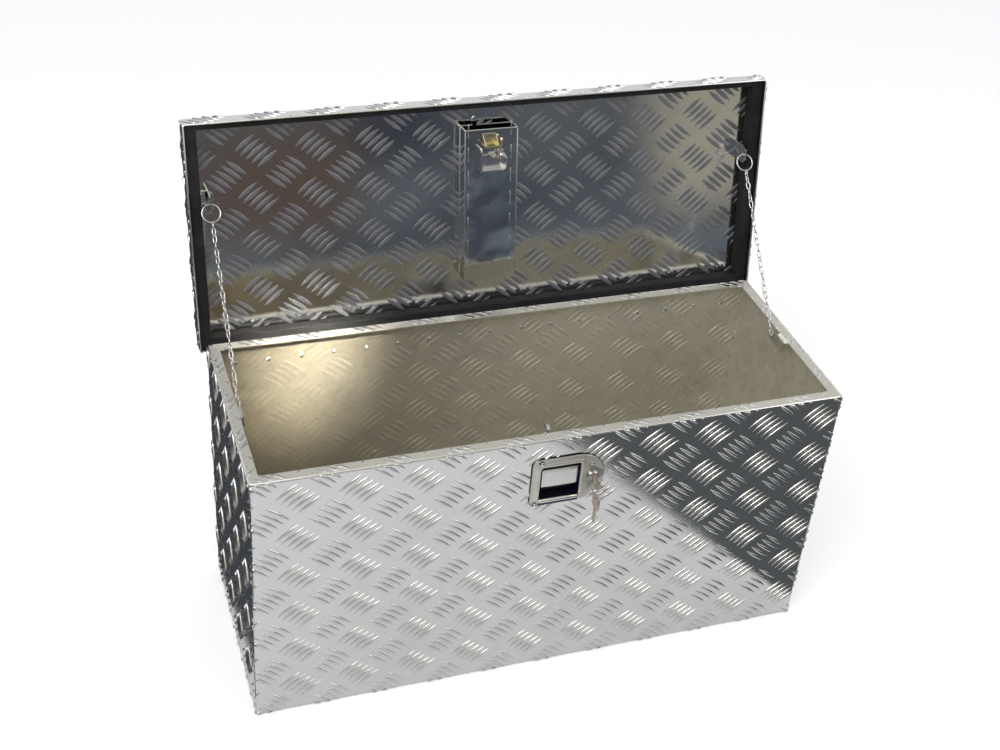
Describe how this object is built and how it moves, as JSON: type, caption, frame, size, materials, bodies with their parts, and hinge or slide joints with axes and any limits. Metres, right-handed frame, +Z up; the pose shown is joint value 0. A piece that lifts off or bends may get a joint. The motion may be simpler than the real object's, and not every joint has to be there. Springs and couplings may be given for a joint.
{
  "type": "aluminium tool box",
  "caption": "Long folded tread-plate aluminium tool box with hinged sealed lid, stay chains, inner striker sleeve and a flush keyed paddle latch with spare key.",
  "frame": {"origin": "centre of the underside, on the surface the box stands on", "axes": "+X to the right along the long side, +Y to the back where the hinge is, +Z up; the latch faces -Y; the lid is open at rest"},
  "size_m": [0.7818, 0.4024, 0.6645],
  "materials": {
    "tread": "bright mill-finish five-bar tread plate, lightly streaked",
    "plain": "smooth mill finish",
    "polished": "polished stainless steel",
    "chrome": "bright plated",
    "zinc": "dull clear zinc plate",
    "brass": "yellow zinc plate",
    "steel": "bare nickel-plated steel",
    "foam": "matte black closed-cell foam"
  },
  "bodies": {
    "box": {"body_shell": "tread", "hinge_leaf_body": "plain", "hinge_pin": "steel", "body_lug_left": "plain", "body_lug_right": "plain", "latch_gasket": "foam", "latch_pan": "polished", "latch_rivet_1": "polished", "latch_rivet_2": "polished", "latch_rivet_3": "polished", "latch_rivet_4": "polished", "paddle_pin": "steel", "latch_housing": "zinc", "hook_pin": "steel", "hook_spring": "steel", "lock_cylinder": "chrome", "lock_nut": "zinc"},
    "lid": {"lid_shell": "tread", "lid_gasket": "foam", "lid_channel": "plain", "striker_bracket": "zinc", "striker_keeper": "brass", "striker_stud": "steel", "striker_nut": "steel", "hinge_leaf_lid": "plain", "lid_lug_left": "plain", "lid_lug_right": "plain"},
    "chain_left_upper": {"stay_chain_left_upper": "chrome"},
    "chain_left_lower": {"stay_chain_left_lower": "chrome"},
    "chain_right_upper": {"stay_chain_right_upper": "chrome"},
    "chain_right_lower": {"stay_chain_right_lower": "chrome"},
    "paddle": {"latch_paddle": "polished"},
    "hook": {"latch_hook": "zinc"},
    "lock_core": {"lock_plug": "chrome", "lock_cam": "zinc", "key": "steel"},
    "key_ring": {"key_ring": "steel"},
    "spare_key": {"spare_key": "steel"}
  },
  "joints": [
    {"name": "lid_hinge", "type": "hinge", "parent": "box", "child": "lid", "pos_m": [0, 0.1457, 0.3736], "axis": [1, 0, 0], "range_deg": [0, 100], "deforming": ["stay_chain_left_upper", "stay_chain_left_lower", "stay_chain_right_upper", "stay_chain_right_lower"]},
    {"name": "chain_left_upper_swing", "type": "hinge", "parent": "lid", "child": "chain_left_upper", "pos_m": [-0.3645, 0.1838, 0.56489], "axis": [1, 0, 0], "range_deg": [-19.18, 0]},
    {"name": "chain_left_lower_swing", "type": "hinge", "parent": "box", "child": "chain_left_lower", "pos_m": [-0.3645, 0.0185, 0.3705], "axis": [1, 0, 0], "range_deg": [-124.83, 0]},
    {"name": "chain_right_upper_swing", "type": "hinge", "parent": "lid", "child": "chain_right_upper", "pos_m": [0.3645, 0.1838, 0.56489], "axis": [1, 0, 0], "range_deg": [-19.18, 0]},
    {"name": "chain_right_lower_swing", "type": "hinge", "parent": "box", "child": "chain_right_lower", "pos_m": [0.3645, 0.0185, 0.3705], "axis": [1, 0, 0], "range_deg": [-124.83, 0]},
    {"name": "paddle_hinge", "type": "hinge", "parent": "box", "child": "paddle", "pos_m": [0, -0.1387, 0.3388], "axis": [1, 0, 0], "range_deg": [-28, 0]},
    {"name": "hook_hinge", "type": "hinge", "parent": "box", "child": "hook", "pos_m": [-0.0035, -0.0965, 0.35], "axis": [1, 0, 0], "range_deg": [0, 28], "stiffness_Nm_per_rad": 0.03, "springref_deg": -17.19},
    {"name": "lock_turn", "type": "hinge", "parent": "box", "child": "lock_core", "pos_m": [0.0425, -0.1504, 0.3205], "axis": [0, -1, 0], "range_deg": [0, 90]},
    {"name": "key_ring_swing", "type": "hinge", "parent": "lock_core", "child": "key_ring", "pos_m": [0.0425, -0.1664, 0.3152], "axis": [1, 0, 0], "range_deg": [-30, 8]},
    {"name": "spare_key_swing", "type": "hinge", "parent": "key_ring", "child": "spare_key", "pos_m": [0.0425, -0.1664, 0.2995], "axis": [1, 0, 0], "range_deg": [-30, 8]}
  ],
  "couplings": [
    {"joint": "chain_left_upper_swing", "follows": "lid_hinge", "ratio": -0.1917},
    {"joint": "chain_left_lower_swing", "follows": "lid_hinge", "ratio": -1.2482},
    {"joint": "chain_right_upper_swing", "follows": "lid_hinge", "ratio": -0.1917},
    {"joint": "chain_right_lower_swing", "follows": "lid_hinge", "ratio": -1.2482},
    {"joint": "hook_hinge", "follows": "paddle_hinge", "ratio": -1}
  ]
}
